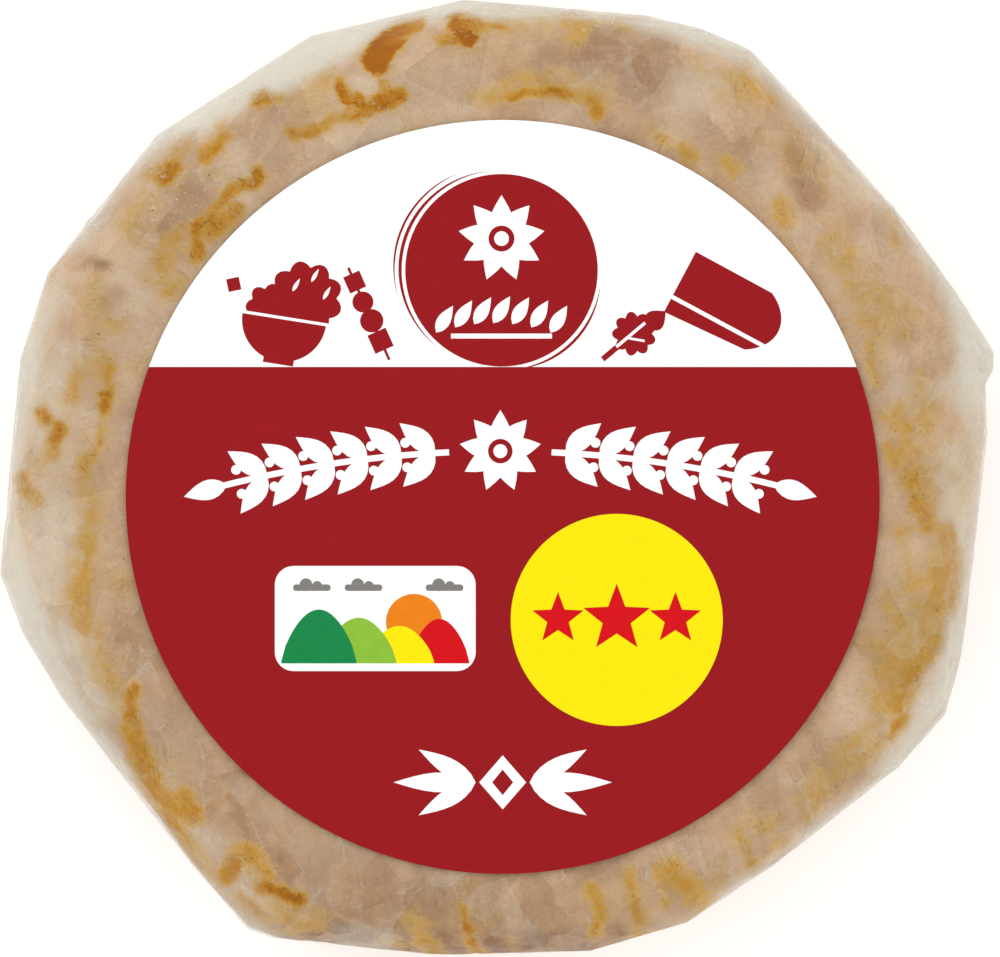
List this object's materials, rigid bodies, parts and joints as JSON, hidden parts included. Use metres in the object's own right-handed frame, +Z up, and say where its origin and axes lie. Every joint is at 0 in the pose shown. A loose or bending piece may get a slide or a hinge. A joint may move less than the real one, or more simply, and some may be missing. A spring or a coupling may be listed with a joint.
{
  "type": "wrapped soft cheese wheel",
  "caption": "Small flat round of soft ripened cheese in thin translucent film, folded and pleated under its base, with a round printed paper label on top.",
  "frame": {"origin": "middle of the base, on the surface that the cheese stands on", "axes": "+Z up through the wheel's thickness, +Y towards the label's white upper edge, +X to the right of the label as it is looked at from above"},
  "size_m": [0.0857, 0.0823, 0.0251],
  "materials": {
    "wrapped_rind": "mottled beige and ochre rind seen through thin milky translucent film with a satin sheen",
    "printed_paper": "smooth printed paper in dark red and white, with yellow and green fields"
  },
  "bodies": {
    "root": {"wrapped_cheese": "wrapped_rind", "label": "printed_paper"}
  },
  "joints": []
}
